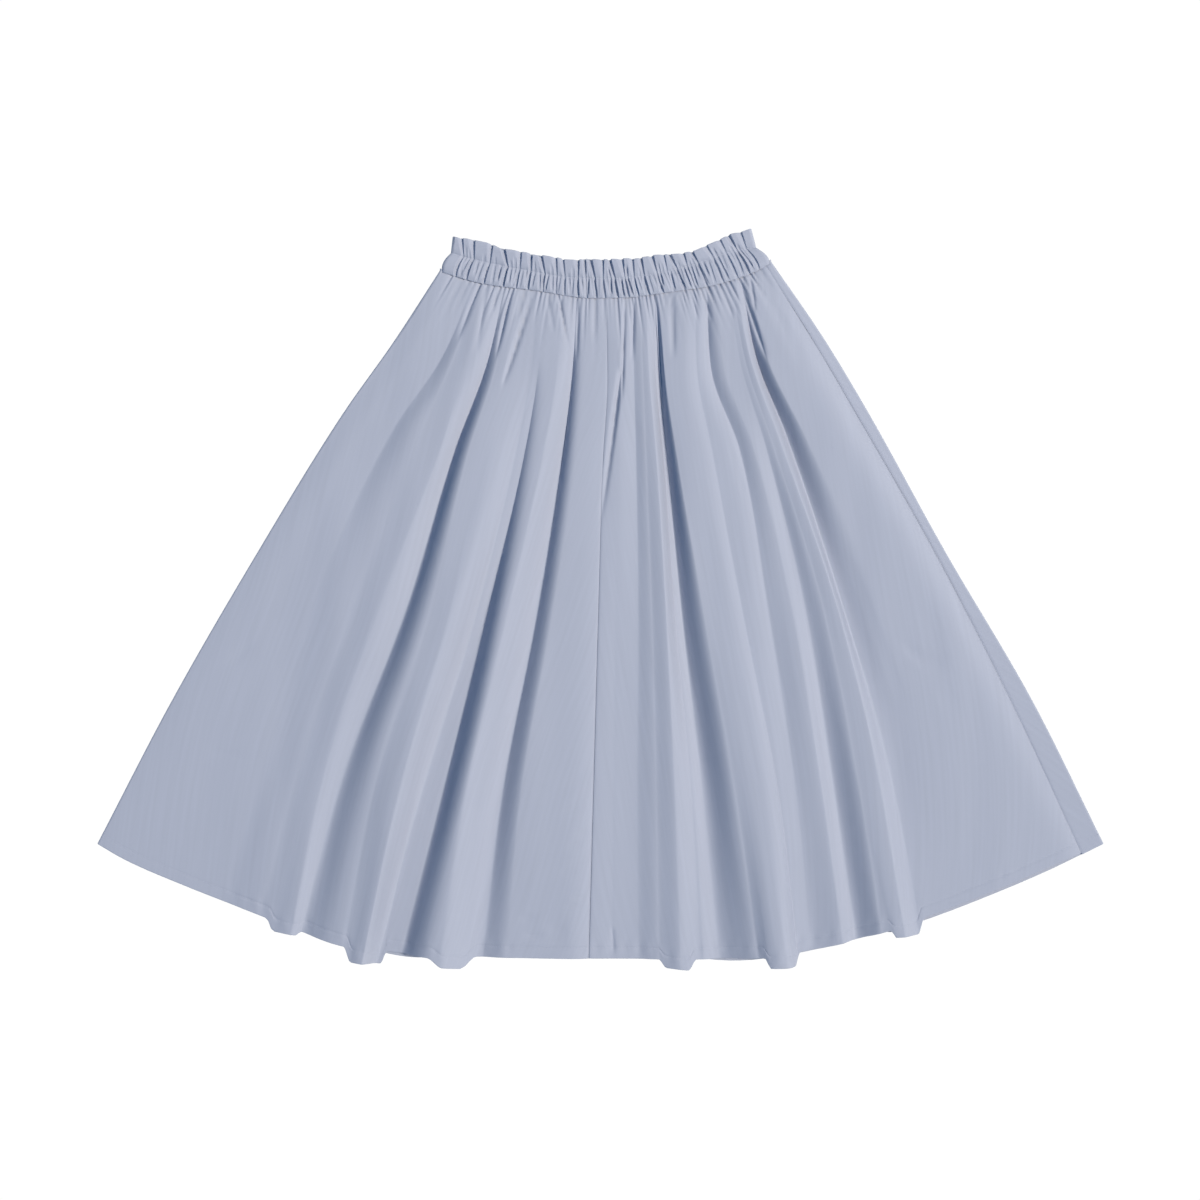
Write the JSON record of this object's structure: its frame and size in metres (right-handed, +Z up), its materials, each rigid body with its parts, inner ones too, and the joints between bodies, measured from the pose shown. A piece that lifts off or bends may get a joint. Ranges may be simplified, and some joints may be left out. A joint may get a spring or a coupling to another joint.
{
  "type": "gathered skirt",
  "caption": "Flared cotton skirt laid flat, with soft folds, a centre-front seam and an elastic casing with a gathered frill above it.",
  "frame": {"origin": "on the surface the skirt lies on, below the middle of its box", "axes": "+Z up out of the surface and the skirt's front, +Y from the hem to the waist, +X to the right as seen from above"},
  "size_m": [1.005, 0.7368, 0.028],
  "materials": {
    "front_left_cotton": "smooth matt cotton, light dusty blue",
    "front_right_cotton": "smooth matt cotton, light dusty blue",
    "back_cotton": "smooth matt cotton, light dusty blue",
    "waistband_cotton": "smooth matt cotton, light dusty blue, gathered"
  },
  "bodies": {
    "root": {"front_left": "front_left_cotton", "front_right": "front_right_cotton", "back": "back_cotton", "waistband": "waistband_cotton"}
  },
  "joints": []
}
